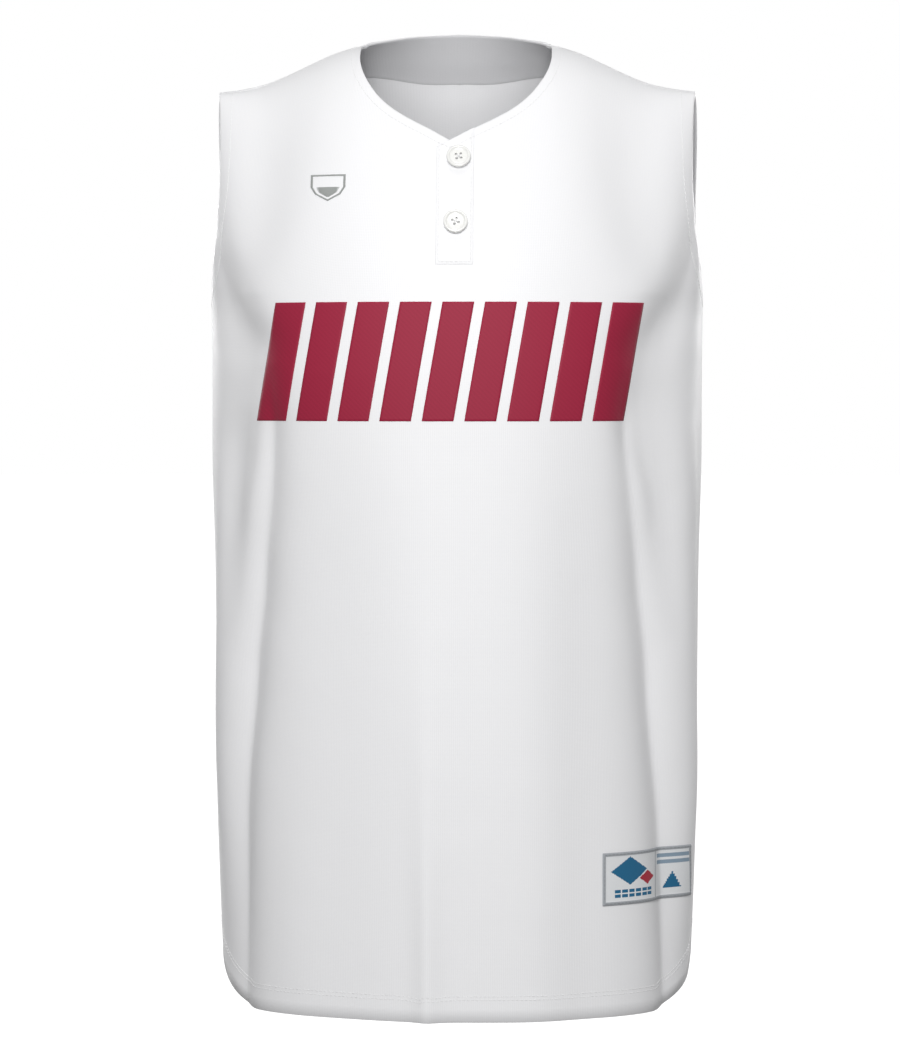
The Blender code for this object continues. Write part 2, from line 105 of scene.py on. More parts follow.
# Creases, placed one by one. Each runs down the cloth through the places given by height, in millimetres, and
# share, in hundredths. inner and outer are its half widths in share, towards the middle of the panel and
# towards the side, and half is both. rise is in millimetres, below zero in a trough. One number holds all
# along. A round of 2 is a soft swell, and one near 1 is drawn in to a crease.
creases = {"front": [
    # long troughs beside the front, from under the chest bars to the hem
    {"round": 1.45, "height": (-262, -285, -306, -330, -369, -409, -449, -489, -529, -570, -610, -690, -850),
     "share": (-50, -50, -50, -50.8, -53, -56.4, -58.6, -61.3, -62.8, -65, -66.4, -66.8, -67.6),
     "inner": (10, 10, 10, 10, 11, 11, 12, 12, 12, 12, 13, 14, 14),
     "outer": (8, 8, 8, 8, 9, 10, 11, 12, 12, 13, 15, 19, 20),
     "rise": (0, -3, -6, -7, -7.5, -8.5, -9.5, -10, -10.5, -10.8, -11, -10.8, -6.5)},
    {"round": 1.45,
     "height": (-266, -290, -313, -330, -369, -408, -448, -488, -528, -568, -608, -689, -752, -850),
     "share": (47, 47, 47.2, 47.8, 50.6, 53.6, 56, 58.6, 59.8, 61.3, 63.3, 65.7, 67.1, 67.7),
     "inner": (9, 10, 10, 10, 11, 11, 12, 12, 12, 12, 13, 14, 14, 14),
     "outer": (7, 7, 7, 8, 9, 10, 11, 12, 12, 13, 14, 17, 18, 18),
     "rise": (0, -2.5, -5.5, -6.5, -7.5, -8.5, -9.5, -10, -10.5, -10.8, -11, -10.8, -10, -6.5)},
    # troughs from under the arms, which die away beside the long ones
    {"round": 2.2, "height": (-140, -164, -191, -218, -242, -266, -290, -314, -340, -370, -410, -450, -500),
     "share": (-80, -77.5, -74.2, -70.2, -64.5, -62.5, -64.1, -65.5, -66.5, -68.2, -70, -71.2, -74),
     "inner": (14, 15, 17, 19, 20, 18, 16, 14, 12, 10, 10, 9, 8),
     "outer": (4, 5, 12, 19, 24, 25, 22, 18, 15, 12, 10, 9, 8),
     "rise": (0, -2, -7, -12.5, -14, -12.2, -11.2, -11, -10, -7.5, -4.6, -2.4, 0)},
    {"round": 2.2, "height": (-140, -162, -195, -218, -246, -274, -298, -321, -339, -361, -409, -449, -500),
     "share": (79, 76.5, 72.2, 67.5, 60, 57, 55.6, 56.2, 57.6, 60.2, 63.2, 65.6, 69),
     "inner": (14, 15, 17, 19, 19, 17, 15, 12, 10, 9, 9, 9, 8),
     "outer": (4, 5, 12, 19, 24, 26, 23, 19, 16, 13, 10, 9, 8),
     "rise": (0, -2, -7, -12.5, -14, -12.2, -11.5, -10, -9, -7.6, -4.6, -2.4, 0)},
    # full swells between the long troughs and the side seams
    {"round": 2, "height": (-320, -380, -450, -530, -600, -660, -720),
     "share": (-78, -78, -78.5, -79, -79, -79, -79), "inner": (12, 12, 13, 14, 14, 13, 12), "outer": 8,
     "rise": (0, 2.4, 3.8, 4.6, 3.8, 1.8, 0)},
    {"round": 2, "height": (-300, -360, -440, -530, -610, -690, -780),
     "share": (77, 77.5, 78, 78.5, 79, 79, 79), "inner": (12, 12, 13, 14, 14, 13, 12), "outer": 8,
     "rise": (0, 3, 5, 5.6, 5.4, 3.2, 1)},
    # soft hollows beside the armholes, which leave the cloth next to the edge standing up
    {"round": 2, "height": (-30, -60, -86, -127, -168, -205), "share": (-54, -54, -55, -55, -57, -60),
     "inner": (17, 17, 17, 17, 16, 15), "outer": (18, 18, 18, 17, 15, 13),
     "rise": (0, -2.4, -4.4, -5.2, -3.8, 0)},
    {"round": 2, "height": (-30, -60, -86, -127, -168, -205), "share": (50, 50, 50.5, 51, 53, 56),
     "inner": (17, 17, 17, 17, 16, 15), "outer": (18, 18, 18, 17, 16, 14),
     "rise": (0, -2.4, -4.4, -5.2, -3.8, 0)},
    # ridge down the middle of the skirt, and the long flat hollow on each side of it
    {"round": 1.5, "height": (-300, -368, -446, -525, -603, -682, -850),
     "share": (-8.5, -8, -7.8, -7.5, -7, -6.8, -6.8), "inner": (12, 12, 11, 9, 8, 7, 7),
     "outer": (12, 12, 11, 9, 7, 5.5, 5.5), "rise": (0, 0.4, 0.8, 1.8, 3.2, 5, 6.5)},
    {"round": 3, "height": (-270, -329, -384, -446, -525, -604, -683, -850), "share": -42,
     "inner": (26, 28, 29, 30, 31, 32, 32, 32), "outer": (26, 26, 26, 28, 30, 30, 30, 30),
     "rise": (0, -3, -5, -6.6, -8, -9, -9.5, -10)},
    {"round": 3, "height": (-260, -320, -384, -446, -525, -604, -683, -850), "share": 42,
     "inner": (22, 22, 22, 21, 21, 20, 20, 20), "outer": (26, 26, 26, 28, 30, 30, 30, 30),
     "rise": (0, -2.8, -4.6, -6, -7.2, -7.6, -7.6, -7.6)},
], "back": [
    {"round": 1.3, "height": (-140, -190, -240, -300, -360, -430, -520),
     "share": (-80, -70, -61, -54, -50, -48, -47), "inner": (12, 13, 13, 13, 12, 11, 10),
     "outer": (12, 12, 10, 8, 7, 7, 7), "rise": (0, -3.4, -4.8, -5.2, -5.4, -4, 0)},
    {"round": 1.3, "height": (-140, -190, -240, -310, -390, -470, -560),
     "share": (79, 69, 60, 53, 48, 45.5, 44), "inner": (12, 13, 13, 13, 12, 11, 10),
     "outer": (12, 12, 10, 8, 7, 7, 7), "rise": (0, -3.8, -5, -5, -4.8, -3.4, 0)},
    {"round": 1.3, "height": (-380, -450, -520, -600, -680, -760, -850),
     "share": (-56, -59, -61.5, -63.6, -64.8, -65.5, -66), "inner": (13, 14, 15, 15, 15, 15, 15),
     "outer": (6, 6, 6, 7, 8, 9, 9), "rise": (0, -3.6, -5.6, -7, -7.6, -7.6, -7.4)},
    {"round": 1.3, "height": (-410, -480, -560, -640, -720, -790, -850),
     "share": (60, 62.2, 64.5, 66.5, 68, 69.2, 70), "inner": (13, 14, 14, 14, 14, 14, 14),
     "outer": (6, 6, 6, 7, 8, 8, 8), "rise": (0, -3.2, -5.2, -6.6, -7.2, -7, -6.8)},
    {"round": 1.6, "height": (-360, -460, -580, -700, -850), "share": (2, 0, -2, -3.2, -4),
     "half": (11, 11.5, 11.5, 11, 10.5), "rise": (0, -1.8, -2.8, -3.8, -4.4)},
    {"round": 1.9, "height": (-460, -560, -660, -750, -850), "share": (28, 28.5, 29, 29.5, 30),
     "half": (10.5, 11, 11, 10.5, 10), "rise": (0, 1.4, 2.2, 3, 3.4)},
    {"round": 1.9, "height": (-420, -520, -640, -740, -850), "share": (-30, -31, -31.5, -32, -32.5),
     "half": (10, 11, 11, 10.5, 10), "rise": (0, 0.8, 1.4, 1.8, 2)},
]}
sideCalm = 0.07  # share over which creases die away at a side seam
creaseFall = 2.2  # how fast a crease dies away past its half width


def smoothRead(knots, values, at):
    # reads a smooth curve through the rows of a table
    knots = np.asarray(knots, float)
    values = np.asarray(values, float)
    slopes = np.gradient(values, knots)
    at = np.clip(at, knots[0], knots[-1])
    row = np.clip(np.searchsorted(knots, at, side="right") - 1, 0, len(knots) - 2)
    width = knots[row + 1] - knots[row]
    part = (at - knots[row]) / width
    rise = values[row + 1] - values[row]
    bend = (1 - part) * (width * slopes[row] - rise) + part * (rise - width * slopes[row + 1])
    return values[row] + part * rise + part * (1 - part) * bend


def ease(value):
    value = np.clip(value, 0.0, 1.0)
    return value * value * (3 - 2 * value)


def asPair(first, second):
    return np.broadcast_arrays(np.asarray(first, float), np.asarray(second, float))


def ringPoint(panel, share, height):
    angle = np.clip(np.abs(share), 0.0, 1.0) * math.pi / 2
    power = smoothRead(rings["height"], rings["squareness"], height)
    sine, cosine = np.sin(angle), np.maximum(np.cos(angle), 0.0)
    radius = (sine**power + cosine**power) ** (-1 / power)
    depth = smoothRead(rings["height"], rings[panel], height)
    across = smoothRead(rings["height"], rings["halfWidth"], height) * radius * sine * np.sign(share)
    return across, depth * radius * cosine * (-1 if panel == "front" else 1)


def crestPoint(share):
    knots = (0, cut["neckShare"], cut["tipShare"], 1)
    reach = smoothRead(knots, (0, cut["neckHalf"], cut["shoulderHalf"], cut["sideReach"]), np.abs(share))
    return reach * np.sign(share), -smoothRead(shoulderLine["across"], shoulderLine["drop"], reach)


def neckRise(panel, share):
    size = np.abs(share)
    if panel == "front":
        size = np.maximum(size, cut["neckShare"])
    return cut["neckRise"] * (1 - ease(size / cut["neckRiseShare"]) ** cut["neckRiseRound"])


def hemHeight(panel, share):
    middle = cut["frontHemZ"] if panel == "front" else cut["backHemZ"]
    lift = ease((np.abs(share) - cut["hemCurveStart"]) / (cut["hemCurveEnd"] - cut["hemCurveStart"]))
    return middle + (cut["sideHemZ"] - middle) * lift


def formPoint(panel, share, climb):
    # the panel before it is draped; past the crest it is the other panel's form
    share, climb = asPair(share, climb)
    hem = hemHeight(panel, share)
    height = hem + (cut["chestZ"] - hem) * np.minimum(climb, 1.0)
    across, forward = ringPoint(panel, share, height)
    turn = np.clip(climb - 1, 0.0, 1.0) * math.pi / 2
    up = np.sin(turn) ** (2 / cut["crestRound"])
    crestAcross, crestHeight = crestPoint(share)
    across = across + (crestAcross - across) * up ** cut["lean"]
    forward = forward * np.maximum(np.cos(turn), 0.0) ** (2 / cut["crestRound"])
    height = height + (crestHeight - cut["chestZ"]) * up
    height = height + neckRise(panel, share) * up ** cut["neckRisePower"][panel]
    points = np.stack([across, forward, height], axis=-1)
    over = climb > 2
    if over.any():
        other = "front" if panel == "back" else "back"
        points = np.where(over[..., None], formPoint(other, share, np.minimum(4 - climb, 2.0)), points)
    return points


def creaseRise(panel, share, height):
    # how far the creases lift the cloth off the form, in metres
    total = np.zeros(np.shape(share))
    for crease in creases[panel]:
        knots = np.array(crease["height"])[::-1] * millimetre
        path, inner, outer, rise = (
            smoothRead(knots, np.broadcast_to(crease.get(word, crease.get("half")), len(knots))[::-1], height)
            for word in ("share", "inner", "outer", "rise"))
        rise = np.where((height > knots[-1]) | (height < knots[0]), 0.0, rise * millimetre)
        side = np.sign(np.ravel(crease["share"])[-1])
        off = share * 100 - path
        off = np.abs(off) / np.where(off * side < 0, inner, outer)
        total = total + rise * np.exp(-creaseFall * off ** crease["round"])
    return total * ease((1 - np.abs(share)) / sideCalm)


def clothPoints(panel, share, climb, lift=0.0):
    # points of the draped cloth and its outward normals, moved out by lift
    share, climb = asPair(share, climb)
    step = search["step"]
    points = formPoint(panel, share, climb)
    lower, upper = np.maximum(share - step, -1.0), np.minimum(share + step, 1.0)
    along = formPoint(panel, upper, climb) - formPoint(panel, lower, climb)
    up = formPoint(panel, share, climb + step) - formPoint(panel, share, climb - step)
    normal = np.cross(along, up) if panel == "front" else -np.cross(along, up)
    normal /= np.linalg.norm(normal, axis=-1, keepdims=True)
    rise = np.where(climb < 2, creaseRise(panel, share, points[..., 2]), 0.0)
    return points + normal * (rise + lift)[..., None], normal


def solvePair(a, b, c, d, p, q):
    # the two unknowns of a * first + b * second = p and c * first + d * second = q
    area = a * d - b * c
    return (p * d - q * b) / area, (q * a - p * c) / area


def spotsAt(across, height):
    # share and climb of the places on the front's form with these x and z, by Newton's method
    across, height = asPair(across, height)
    share = np.clip(across / cut["sideReach"], -search["firstShareLimit"], search["firstShareLimit"])
    low = (height - cut["frontHemZ"]) / (cut["chestZ"] - cut["frontHemZ"])
    high = np.clip((height - cut["chestZ"]) / -cut["chestZ"], 0.0, 1.0)
    climb = np.where(low < 1, low, 1 + search["firstClimbReach"] * high)
    step, most = search["fineStep"], search["longestMove"]
    for _ in range(search["rounds"]):
        here = formPoint("front", share, climb)
        aside = (formPoint("front", share + step, climb) - here) / step
        above = (formPoint("front", share, climb + step) - here) / step
        miss = across - here[..., 0], height - here[..., 2]
        moves = solvePair(aside[..., 0], above[..., 0], aside[..., 2], above[..., 2], *miss)
        moveShare, moveClimb = np.clip(moves, -most, most)
        share = np.clip(share + moveShare, -search["shareLimit"], search["shareLimit"])
        climb = np.clip(climb + moveClimb, 0.0, search["climbLimit"])
    return share, climb


def drapedSpots(across, height):
    # share and climb of the places on the front's draped cloth with these x and z
    aimAcross, aimHeight = across, height
    for _ in range(search["drapedRounds"]):
        share, climb = spotsAt(aimAcross, aimHeight)
        points, _ = clothPoints("front", share, climb)
        aimAcross = aimAcross + across - points[..., 0]
        aimHeight = aimHeight + height - points[..., 2]
    return share, climb


def runLength(points):
    # how far along a path each of its points lies
    return np.concatenate([[0.0], np.cumsum(np.linalg.norm(np.diff(points, axis=0), axis=1))])


def necklineSide(sign, count):
    # spots along one side of the front neckline, from the point of the V to the neck point
    run = runLength(np.array([neckline["across"], neckline["drop"]]).T)
    at = np.linspace(0.0, run[-1], count + 1)[:-1]
    x = smoothRead(run, neckline["across"], at)
    z = -smoothRead(run, neckline["drop"], at)
    share, climb = spotsAt(sign * x + cut["vShift"] * (1 - x / cut["neckHalf"]), z)
    return np.append(share, sign * cut["neckShare"]), np.append(climb, cut["seamClimb"])


def backNeckSpots(part):
    turn = np.abs(part) * math.pi / 2
    rise = 1 - np.maximum(np.cos(turn), 0.0) ** cut["backNeckRound"]
    climb = cut["backNeckClimb"] + (4 - cut["seamClimb"] - cut["backNeckClimb"]) * rise
    return np.sign(part) * cut["neckShare"] * np.sin(turn), climb


def topSpots(panel):
    # along a panel's top edge: a shoulder seam, the neckline and the other shoulder seam
    seamCount = cloth["columns"] - cloth["neckColumns"]
    seamShare = np.linspace(cut["neckShare"], cut["tipShare"], seamCount + 1)[1:]
    seamClimb = np.full(seamCount, cut["seamClimb"] if panel == "front" else 4 - cut["seamClimb"])
    if panel == "front":
        left = necklineSide(-1, cloth["neckColumns"])
        right = necklineSide(1, cloth["neckColumns"])
        neck = [np.concatenate([a[::-1], b[1:]]) for a, b in zip(left, right)]
    else:
        neck = backNeckSpots(np.linspace(-1, 1, 2 * cloth["neckColumns"] + 1))
    share = np.concatenate([-seamShare[::-1], neck[0], seamShare])
    return share, np.concatenate([seamClimb, neck[1], seamClimb])


upperClimbs = np.linspace(1.0, 2.0, 4001)
cut["armpitClimb"] = float(np.interp(cut["armpitZ"], formPoint("front", 1.0, upperClimbs)[:, 2], upperClimbs))


def armholeShare(panel, climb):
    start = cut["armpitClimb"]
    down = np.clip((cut["armholeCornerClimb"] - climb) / (cut["armholeCornerClimb"] - start), 0.0, 1.0)
    corner = 1 - np.sqrt(np.maximum(1 - down * down, 0.0))
    scoop = np.sin(np.clip((climb - start) / (cut["seamClimb"] - start), 0.0, 1.0) * math.pi)
    scoop = cut["armholeScoop"][panel] * scoop
    return cut["tipShare"] + (1 - cut["tipShare"]) * corner - scoop * (1 - corner)


def facingLine(share):
    size = np.abs(share)
    neck = smoothRead(bandLine["share"], bandLine["climb"], size)
    tip = ease((size - cut["neckShare"]) / (cut["tipShare"] - cut["neckShare"]))
    return neck + (cut["facingTipClimb"] - bandLine["climb"][-1]) * tip


def panelGrid(panel):
    # shares and climbs of a panel's points, rows from the hem up and columns from -X to +X
    topShare, topClimb = topSpots(panel)
    topPart = topShare / cut["tipShare"]
    start = cut["armpitClimb"]
    even = np.linspace(-1, 1, 2 * cloth["columns"] + 1)
    parts = 1 - (1 - np.linspace(0, 1, cloth["bodyRows"] + 1)) ** cut["bodyRowEase"]
    shares = [even for part in parts]
    climbs = [np.full(len(even), start * part) for part in parts]
    stops = [(topClimb, cloth["armRows"], cut["armRowEase"])]
    if panel == "back":
        below = cloth["armRows"] - cloth["facingRows"]
        stops = [(facingLine(topShare), below, cut["armRowEase"]), (topClimb, cloth["facingRows"], 1)]
    for stop, count, rowEase in stops:
        base = climbs[-1]
        for row in range(1, count + 1):
            climb = base + (stop - base) * (row / count) ** rowEase
            mixed = (climb - start) / (topClimb - start)
            shares.append(armholeShare(panel, climb[0]) * (even + (topPart - even) * mixed))
            climbs.append(climb)
    shares[-1] = topShare
    return np.array(shares), np.array(climbs)


def linear(hexColour):
    # sRGB hex to a linear colour
    channels = [int(hexColour[i:i + 2], 16) / 255 for i in (1, 3, 5)]
    return tuple(c / 12.92 if c <= 0.04045 else ((c + 0.055) / 1.055) ** 2.4 for c in channels) + (1.0,)


def addNode(tree, kind, inputs=None, **settings):
    # one node with its settings, and its inputs given as values or as sockets to link from
    node = tree.nodes.new("ShaderNode" + kind)
    for name, value in settings.items():
        setattr(node, name, value)
    for name, value in (inputs or {}).items():
        socket = node.inputs[name]
        if isinstance(value, bpy.types.NodeSocket):
            tree.links.new(value, socket)
        else:
            socket.default_value = value
    return node


def newMaterial(name, shader):
    # an empty material with a Principled shader whose even values are set on its own sockets
    made = bpy.data.materials.new(name)
    made.use_nodes = True
    tree = made.node_tree
    tree.nodes.clear()
    surface = addNode(tree, "BsdfPrincipled", shader)
    addNode(tree, "OutputMaterial", {"Surface": surface.outputs["BSDF"]})
    return made, tree, surface


def colourAndRelief(tree, surface, low, high, blend, relief):
    # colours the surface from low to high by the blend, and turns its normal by the relief
    colour = addNode(tree, "Mix", {0: blend, 6: low, 7: high}, data_type="RGBA")
    bump = addNode(tree, "Bump", relief)
    tree.links.new(colour.outputs[2], surface.inputs["Base Color"])
    tree.links.new(bump.outputs["Normal"], surface.inputs["Normal"])


def darker(colour, part):
    return tuple(part * c for c in colour[:3]) + (1.0,)


def cutWaves(tree, lengths):
    # sine waves across and up the flat cut, each with its own length in metres
    place = addNode(tree, "UVMap", uv_map="cut")
    parts = addNode(tree, "SeparateXYZ", {"Vector": place.outputs["UV"]})
    waves = []
    for part, length in zip(parts.outputs, lengths):
        turn = addNode(tree, "Math", {0: part, 1: 2 * math.pi / length}, operation="MULTIPLY")
        waves.append(addNode(tree, "Math", {0: turn.outputs[0]}, operation="SINE").outputs[0])
    return waves


whiteKnit = {
    "colour": "#F3F3F4",
    "shade": "#EDEDEF",  # a slightly darker, cooler white: painted shade in the loops' hollows, and the dark side of the yarn's random mottle
    "roughness": 0.46,
    "sheen": 0.30,
    "waleMm": 1.3,  # loops are 0.65 mm apart on the real cloth, drawn at twice that so that they show
    "courseMm": 1.0,
    "waleShare": 0.6,  # how much of the loops' height the wales make, the rest being the courses
    "bump": 0.10,
    "bumpMm": 0.3,
    "fuzzMm": 1.43,  # the slight mottle of knitted yarn
    "crumpleMm": 38.0,
    "crumple": 0.35,
    "crumpleDepthMm": 1.2,
}


def knitMaterial(name, look):
    # Polyester interlock knit, heat set smooth: soft matt white with a faint grain of upright wales
    made, tree, surface = newMaterial(name, {
        "Roughness": look["roughness"], "IOR": 1.5, "Specular IOR Level": 0.3,
        "Sheen Weight": look["sheen"], "Sheen Roughness": 0.30})
    wale, course = cutWaves(tree, (look["waleMm"] * millimetre, look["courseMm"] * millimetre))
    loops = addNode(tree, "Math", {0: wale, 1: look["waleShare"]}, operation="MULTIPLY")
    loops = addNode(tree, "Math", {
        0: course, 1: 1 - look["waleShare"], 2: loops.outputs[0]}, operation="MULTIPLY_ADD")
    solid = addNode(tree, "TexCoord")
    crumple = addNode(tree, "TexNoise", {
        "Vector": solid.outputs["Object"], "Scale": 1 / (look["crumpleMm"] * millimetre),
        "Detail": 2.0, "Roughness": 0.4})
    fuzz = addNode(tree, "TexNoise", {
        "Vector": solid.outputs["Object"], "Scale": 1 / (look["fuzzMm"] * millimetre), "Detail": 2.0})
    # painted shade: the white darkens in the loops' hollows, where the same loops make the bump low, and the
    # yarn's random mottle is added on top
    hollow = addNode(tree, "MapRange", {"Value": loops.outputs[0], "From Min": -1.0, "To Max": 0.6})
    mottleAndHollowShade = addNode(tree, "Math", {
        0: fuzz.outputs["Fac"], 1: 0.4, 2: hollow.outputs[0]}, operation="MULTIPLY_ADD")
    soft = addNode(tree, "Bump", {
        "Height": crumple.outputs["Fac"], "Strength": look["crumple"],
        "Distance": look["crumpleDepthMm"] * millimetre})
    colourAndRelief(tree, surface, linear(look["shade"]), linear(look["colour"]), mottleAndHollowShade.outputs[0], {
        "Height": loops.outputs[0], "Strength": look["bump"], "Distance": look["bumpMm"] * millimetre,
        "Normal": soft.outputs["Normal"]})
    return made


knit = knitMaterial("polyester interlock knit, heat set", whiteKnit)


def gridFaces(rows, columns, start, flip=False):
    # quads of a grid of points numbered from start
    row, column = np.meshgrid(np.arange(rows - 1), np.arange(columns - 1), indexing="ij")
    low = (start + row * columns + column).ravel()
    faces = np.stack([low, low + 1, low + columns + 1, low + columns], axis=1)
    return faces[:, ::-1] if flip else faces


def addObject(name, data):
    made = bpy.data.objects.new(name, data)
    bpy.context.scene.collection.objects.link(made)
    return made


def newPiece(name, points, faces, materials, uv=None):
    # a smooth mesh piece that rides on the one body
    mesh = bpy.data.meshes.new(name)
    mesh.from_pydata([tuple(p) for p in points], [], [tuple(int(i) for i in f) for f in faces])
    mesh.validate()
    if uv is not None:
        layer = mesh.uv_layers.new(name="cut")
        index = np.empty(len(mesh.loops), int)
        mesh.loops.foreach_get("vertex_index", index)
        layer.data.foreach_set("uv", np.asarray(uv, np.float32)[index].ravel())
    for material in materials:
        mesh.materials.append(material)
    mesh.shade_smooth()
    piece = addObject(name, mesh)
    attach(piece, "root")
    return piece


def shell(name, outer, inner, uv, materials, bulge, slot="white_cloth"):
    # a thin closed shell between two grids, its rim rounded out by bulge along the way out of the edge
    rows, columns = outer.shape[:2]
    count = rows * columns
    rim = [(0, c) for c in range(columns - 1)] + [(r, columns - 1) for r in range(rows - 1)]
    rim += [(rows - 1, c) for c in range(columns - 1, 0, -1)] + [(r, 0) for r in range(rows - 1, 0, -1)]
    rim = np.array(rim)
    inward = np.clip(rim, 1, (rows - 2, columns - 2))
    middle = (outer + inner) / 2
    edge = middle[rim[:, 0], rim[:, 1]]
    away = edge - middle[inward[:, 0], inward[:, 1]]
    away /= np.linalg.norm(away, axis=-1, keepdims=True)
    points = np.concatenate([outer.reshape(-1, 3), inner.reshape(-1, 3), edge + away * bulge])
    flip = not outward(outer, inner)
    faces = [gridFaces(rows, columns, 0, flip), gridFaces(rows, columns, count, not flip)]
    here = rim[:, 0] * columns + rim[:, 1]
    there = np.roll(here, -1)
    lipHere = 2 * count + np.arange(len(rim))
    lipThere = np.roll(lipHere, -1)
    for corners in ((there, here, lipHere, lipThere), (lipThere, lipHere, here + count, there + count)):
        side = np.stack(corners, axis=1)
        faces.append(side[:, ::-1] if flip else side)
    uvAll = np.concatenate([uv.reshape(-1, 2), uv.reshape(-1, 2), uv[rim[:, 0], rim[:, 1]]])
    return newPiece(name, points, np.concatenate(faces), materials, uvAll)


def outward(outer, inner):
    # whether faces numbered along the rows face away from the inner grid
    along = outer[1:, 1:] - outer[1:, :-1]
    up = outer[1:, :-1] - outer[:-1, :-1]
    out = outer[1:, :-1] - inner[1:, :-1]
    return float((np.cross(along, up) * out).sum()) > 0


def clothUv(panel, share, climb):
    # where a point lies on the flat cut, in metres
    hem, chest = hemHeight(panel, 0.0), cut["chestZ"]
    height = np.where(climb < 1, hem + (chest - hem) * climb, chest + (climb - 1) * cloth["upperCut"])
    return np.stack([share * cloth["halfCut"], height], axis=-1)


def drawBack(points, gap):
    # moves the side edges and the top edge back from the seams they meet
    across = points.swapaxes(0, 1)
    for edge, inner in ((across[0], across[1]), (across[-1], across[-2]), (points[-1], points[-2])):
        away = inner - edge
        edge += away / np.linalg.norm(away, axis=-1, keepdims=True) * gap


def buildPanel(panel):
    share, climb = panelGrid(panel)
    sides = [clothPoints(panel, share, climb, lift)[0] for lift in (cloth["wall"] / 2, -cloth["wall"] / 2)]
    for points in sides:
        drawBack(points, cloth["seamGap"] / 2)
    piece = shell(panel + "_panel", *sides, clothUv(panel, share, climb), [knit], cloth["foldEdge"])
    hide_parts(panel)
    print("jersey:", panel, "panel with", len(piece.data.polygons), "faces")
    return piece, share, climb


frontPanel, _, _ = buildPanel("front")
backPanel, backShare, backClimb = buildPanel("back")

neckBand = {
    "thick": 0.0009, "edgeThick": 0.0001, "edgeRows": 8, "gap": 0.0001, "bulge": 0.0001,
    "pastNeck": 0.3,  # how far it runs on along the shoulder seams, as a share of half the neck
}

# the same knit laid double, painted a shade greyer for the shade that falls inside the back of the neck
bandKnitPaintedShade = dict(whiteKnit, colour="#D2D2D4", shade="#CCCCCE")


def buildNeckBand():
    rows = slice(-1 - cloth["facingRows"], None)
    past = round(cloth["neckColumns"] * (1 + neckBand["pastNeck"]))
    columns = slice(cloth["columns"] - past, cloth["columns"] + past + 1)
    share, climb = backShare[rows, columns], backClimb[rows, columns]
    base = -cloth["wall"] / 2 - neckBand["gap"]
    full = ease(np.arange(share.shape[0]) / neckBand["edgeRows"])[:, None]
    thick = neckBand["edgeThick"] + (neckBand["thick"] - neckBand["edgeThick"]) * full
    near, _ = clothPoints("back", share, climb, base)
    far, _ = clothPoints("back", share, climb, base - thick)
    # painted shade: the band's greyer knit stands for the shade inside the back of the neck
    band = knitMaterial("polyester interlock knit, laid double, painted shade", bandKnitPaintedShade)
    uv = clothUv("back", share, climb)
    piece = shell("neck_band", far, near, uv, [band], neckBand["bulge"], "facing_cloth")
    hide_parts("neck_facing")


buildNeckBand()

placketLap = {
    "left": -0.013, "right": 0.016, "footZ": -0.184,
    "gap": 0.00012, "thick": 0.0006, "edgeThick": 0.00015, "edgeMm": 4.0, "bulge": 0.0002,
    "columns": 24, "rows": 80,
}


def necklineZ(x):
    # height of the front neckline's right side at x, carried on in a straight line past the point of the V
    across, drop = np.array(neckline["across"]), np.array(neckline["drop"])
    shifted = across + cut["vShift"] * (1 - across / cut["neckHalf"])
    slope = (drop[0] - drop[1]) / (shifted[1] - shifted[0])
    return np.where(x < shifted[0], -drop[0] + slope * (x - shifted[0]), -np.interp(x, shifted, drop))


def buildPlacket():
    lap = placketLap
    x = np.linspace(lap["left"], lap["right"], lap["columns"] + 1)
    part = np.linspace(0, 1, lap["rows"] + 1)[:, None]
    z = lap["footZ"] + (necklineZ(x)[None, :] - lap["footZ"]) * part
    x = np.broadcast_to(x, z.shape)
    share, climb = spotsAt(x, z)
    inset = np.minimum(np.minimum(x - lap["left"], lap["right"] - x), z - lap["footZ"])
    full = ease(inset / (lap["edgeMm"] * millimetre))
    thick = lap["edgeThick"] + (lap["thick"] - lap["edgeThick"]) * full
    inner, normal = clothPoints("front", share, climb, cloth["wall"] / 2 + lap["gap"])
    outer = inner + normal * thick[..., None]
    piece = shell("placket_lap", outer, inner, clothUv("front", share, climb), [knit], lap["bulge"])
    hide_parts("placket")


buildPlacket()
print("jersey: neck band and placket")

buttons = {
    "radius": 0.0096, "height": 0.003, "holeRadius": 0.00105, "holePitch": 0.0036, "lift": 0.0017,
    "places": {"button_top": (0.0043, -0.0998), "button_bottom": (0.0024, -0.1512)},
    "turn": {"button_top": 8.0, "button_bottom": 27.0},  # how each was sewn on, in degrees
    "colour": "#F4F4F1", "rim": "#E7E7E4", "roughness": 0.24,
    "cloudMm": 3.85, "latheMm": 0.714,  # turning marks, coarser than real ones so that they show
    # radius and height up the section, as shares of the radius and the height
    "profile": ((0, 0.05), (0.8, 0.05), (0.93, 0.14), (0.985, 0.32), (1, 0.55), (0.985, 0.78), (0.945, 0.93),
                (0.89, 1), (0.835, 0.985), (0.79, 0.9), (0.755, 0.78), (0.72, 0.7), (0.6, 0.655), (0, 0.62)),
    "steps": 72, "holeSteps": 20, "sharpAngle": 42, "mergeWithin": 0.000005,
    # the thread, its height on the button as a share of the button's
    "threadDeck": 0.66, "threadApart": 0.00022, "threadRadius": 0.00024, "threadArch": 0.00055,
}


